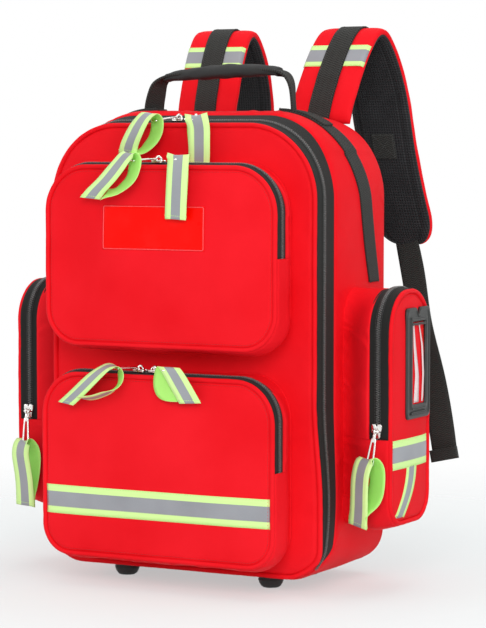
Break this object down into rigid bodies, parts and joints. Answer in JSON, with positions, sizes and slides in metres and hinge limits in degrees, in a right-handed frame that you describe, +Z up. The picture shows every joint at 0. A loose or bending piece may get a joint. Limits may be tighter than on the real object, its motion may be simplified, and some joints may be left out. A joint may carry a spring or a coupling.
{
  "type": "first responder backpack",
  "caption": "Upright zipped backpack with clamshell main compartment, front and side pockets, carry handle, padded shoulder straps and reflective tape.",
  "frame": {"origin": "centre of the overall footprint, on the surface that the feet stand on", "axes": "+X to the viewer's right seen from the front, +Y from the front panel to the back, +Z up"},
  "size_m": [0.4638, 0.3508, 0.6023],
  "materials": {
    "red_fabric": "coated woven, satin",
    "zip_tape": "woven tape, matt",
    "black_webbing": "ribbed webbing, matt",
    "black_mesh": "spacer mesh, matt",
    "reflective_tape": "retro-reflective silver edged in lime",
    "zip_metal": "polished nickel",
    "board": "plain sheet",
    "foot_rubber": "moulded, matt",
    "black_plastic": "moulded, satin",
    "clear_vinyl": "clear, glossy"
  },
  "bodies": {
    "pack": {"main_shell": "red_fabric", "main_zip_rear": "zip_tape", "back_panel": "red_fabric", "stiffening_boards": "board", "back_pads": "black_mesh", "rubber_feet": "foot_rubber", "side_webbing": "black_webbing", "left_pocket_body": "red_fabric", "right_pocket_body": "red_fabric", "side_zip_rear": "zip_tape", "side_piping": "red_fabric", "side_tape": "reflective_tape", "strap_anchors": "black_webbing", "ladder_locks": "black_plastic"},
    "front_flap": {"front_panel": "red_fabric", "main_zip_front": "zip_tape", "upper_pocket_body": "red_fabric", "lower_pocket_body": "red_fabric", "pocket_zip_rear": "zip_tape", "front_piping": "red_fabric", "front_tape": "reflective_tape"},
    "upper_lid": {"upper_lid_zip": "zip_tape", "upper_lid_panel": "red_fabric", "clear_patch": "clear_vinyl"},
    "lower_lid": {"lower_lid_zip": "zip_tape", "lower_lid_panel": "red_fabric"},
    "left_lid": {"left_lid_zip": "zip_tape", "left_lid_panel": "red_fabric"},
    "right_lid": {"right_lid_zip": "zip_tape", "right_lid_panel": "red_fabric", "card_frame": "black_plastic", "card_window": "clear_vinyl"},
    "handle": {"handle_webbing": "black_webbing", "handle_grip": "black_webbing"},
    "left_strap": {"left_strap_pad": "red_fabric", "left_strap_lining": "black_mesh", "left_strap_band": "reflective_tape", "left_strap_webbing": "black_webbing"},
    "left_tail": {"left_strap_tail": "black_webbing"},
    "right_strap": {"right_strap_pad": "red_fabric", "right_strap_lining": "black_mesh", "right_strap_band": "reflective_tape", "right_strap_webbing": "black_webbing"},
    "right_tail": {"right_strap_tail": "black_webbing"},
    "main_left_zip": {"main_left_slider": "zip_metal"},
    "main_left_tag": {"main_left_pull": "reflective_tape"},
    "main_right_zip": {"main_right_slider": "zip_metal"},
    "main_right_tag": {"main_right_pull": "reflective_tape"},
    "upper_left_zip": {"upper_left_slider": "zip_metal"},
    "upper_left_tag": {"upper_left_pull": "reflective_tape"},
    "upper_right_zip": {"upper_right_slider": "zip_metal"},
    "upper_right_tag": {"upper_right_pull": "reflective_tape"},
    "lower_left_zip": {"lower_left_slider": "zip_metal"},
    "lower_left_tag": {"lower_left_pull": "reflective_tape"},
    "lower_right_zip": {"lower_right_slider": "zip_metal"},
    "lower_right_tag": {"lower_right_pull": "reflective_tape"},
    "left_side_zip": {"left_side_slider": "zip_metal"},
    "left_side_tag": {"left_side_pull": "reflective_tape"},
    "right_side_zip": {"right_side_slider": "zip_metal"},
    "right_side_tag": {"right_side_pull": "reflective_tape"}
  },
  "joints": [
    {"name": "front_flap_fold", "type": "hinge", "parent": "pack", "child": "front_flap", "pos_m": [0, -0.1076, 0.0185], "axis": [1, 0, 0], "range_deg": [0, 150]},
    {"name": "upper_lid_fold", "type": "hinge", "parent": "front_flap", "child": "upper_lid", "pos_m": [0, -0.1594, 0.356], "axis": [1, 0, 0], "range_deg": [0, 150]},
    {"name": "lower_lid_fold", "type": "hinge", "parent": "front_flap", "child": "lower_lid", "pos_m": [0, -0.1664, 0.135], "axis": [1, 0, 0], "range_deg": [0, 150]},
    {"name": "left_lid_fold", "type": "hinge", "parent": "pack", "child": "left_lid", "pos_m": [-0.2308, -0.0226, 0.165], "axis": [0, -1, 0], "range_deg": [0, 120]},
    {"name": "right_lid_fold", "type": "hinge", "parent": "pack", "child": "right_lid", "pos_m": [0.2308, -0.0226, 0.165], "axis": [0, 1, 0], "range_deg": [0, 120]},
    {"name": "handle_swing", "type": "hinge", "parent": "pack", "child": "handle", "pos_m": [0, -0.0256, 0.5103], "axis": [1, 0, 0], "range_deg": [-80, 80]},
    {"name": "left_strap_lift", "type": "hinge", "parent": "pack", "child": "left_strap", "pos_m": [-0.074, 0.0721, 0.4993], "axis": [1, 0, 0], "range_deg": [0, 45]},
    {"name": "left_tail_swing", "type": "hinge", "parent": "left_strap", "child": "left_tail", "pos_m": [-0.056, 0.1681, 0.3575], "axis": [1, 0, 0], "range_deg": [-15, 80]},
    {"name": "right_strap_lift", "type": "hinge", "parent": "pack", "child": "right_strap", "pos_m": [0.074, 0.0721, 0.4993], "axis": [1, 0, 0], "range_deg": [0, 45]},
    {"name": "right_tail_swing", "type": "hinge", "parent": "right_strap", "child": "right_tail", "pos_m": [0.142, 0.1681, 0.3575], "axis": [1, 0, 0], "range_deg": [-15, 80]},
    {"name": "main_left_slide", "type": "slide", "parent": "front_flap", "child": "main_left_zip", "axis": [-1, 0, 0], "range_m": [0, 0.06]},
    {"name": "main_left_pull_swing", "type": "hinge", "parent": "main_left_zip", "child": "main_left_tag", "pos_m": [-0.013, -0.0896, 0.5026], "axis": [-1, 0, 0], "range_deg": [0, 120]},
    {"name": "main_right_slide", "type": "slide", "parent": "front_flap", "child": "main_right_zip", "axis": [1, 0, 0], "range_m": [0, 0.065]},
    {"name": "main_right_pull_swing", "type": "hinge", "parent": "main_right_zip", "child": "main_right_tag", "pos_m": [0.008, -0.0896, 0.5026], "axis": [-1, 0, 0], "range_deg": [0, 120]},
    {"name": "upper_left_slide", "type": "slide", "parent": "upper_lid", "child": "upper_left_zip", "axis": [-1, 0, 0], "range_m": [0, 0.076]},
    {"name": "upper_left_pull_swing", "type": "hinge", "parent": "upper_left_zip", "child": "upper_left_tag", "pos_m": [-0.006, -0.1461, 0.4586], "axis": [-1, 0, 0], "range_deg": [0, 120]},
    {"name": "upper_right_slide", "type": "slide", "parent": "upper_lid", "child": "upper_right_zip", "axis": [1, 0, 0], "range_m": [0, 0.069]},
    {"name": "upper_right_pull_swing", "type": "hinge", "parent": "upper_right_zip", "child": "upper_right_tag", "pos_m": [0.013, -0.1461, 0.4586], "axis": [-1, 0, 0], "range_deg": [0, 120]},
    {"name": "lower_left_slide", "type": "slide", "parent": "lower_lid", "child": "lower_left_zip", "axis": [-1, 0, 0], "range_m": [0, 0.062]},
    {"name": "lower_left_pull_swing", "type": "hinge", "parent": "lower_left_zip", "child": "lower_left_tag", "pos_m": [-0.025, -0.1531, 0.2376], "axis": [-1, 0, 0], "range_deg": [0, 45]},
    {"name": "lower_right_slide", "type": "slide", "parent": "lower_lid", "child": "lower_right_zip", "axis": [1, 0, 0], "range_m": [0, 0.095]},
    {"name": "lower_right_pull_swing", "type": "hinge", "parent": "lower_right_zip", "child": "lower_right_tag", "pos_m": [-0.007, -0.1531, 0.2376], "axis": [-1, 0, 0], "range_deg": [0, 45]},
    {"name": "left_side_slide", "type": "slide", "parent": "pack", "child": "left_side_zip", "axis": [0, 0, 1], "range_m": [0, 0.094]},
    {"name": "left_side_pull_swing", "type": "hinge", "parent": "left_side_zip", "child": "left_side_tag", "pos_m": [-0.2145, -0.0792, 0.1745], "axis": [-1, 0, 0], "range_deg": [0, 120]},
    {"name": "right_side_slide", "type": "slide", "parent": "pack", "child": "right_side_zip", "axis": [0, 0, 1], "range_m": [0, 0.094]},
    {"name": "right_side_pull_swing", "type": "hinge", "parent": "right_side_zip", "child": "right_side_tag", "pos_m": [0.2145, -0.0792, 0.1745], "axis": [-1, 0, 0], "range_deg": [0, 120]}
  ]
}
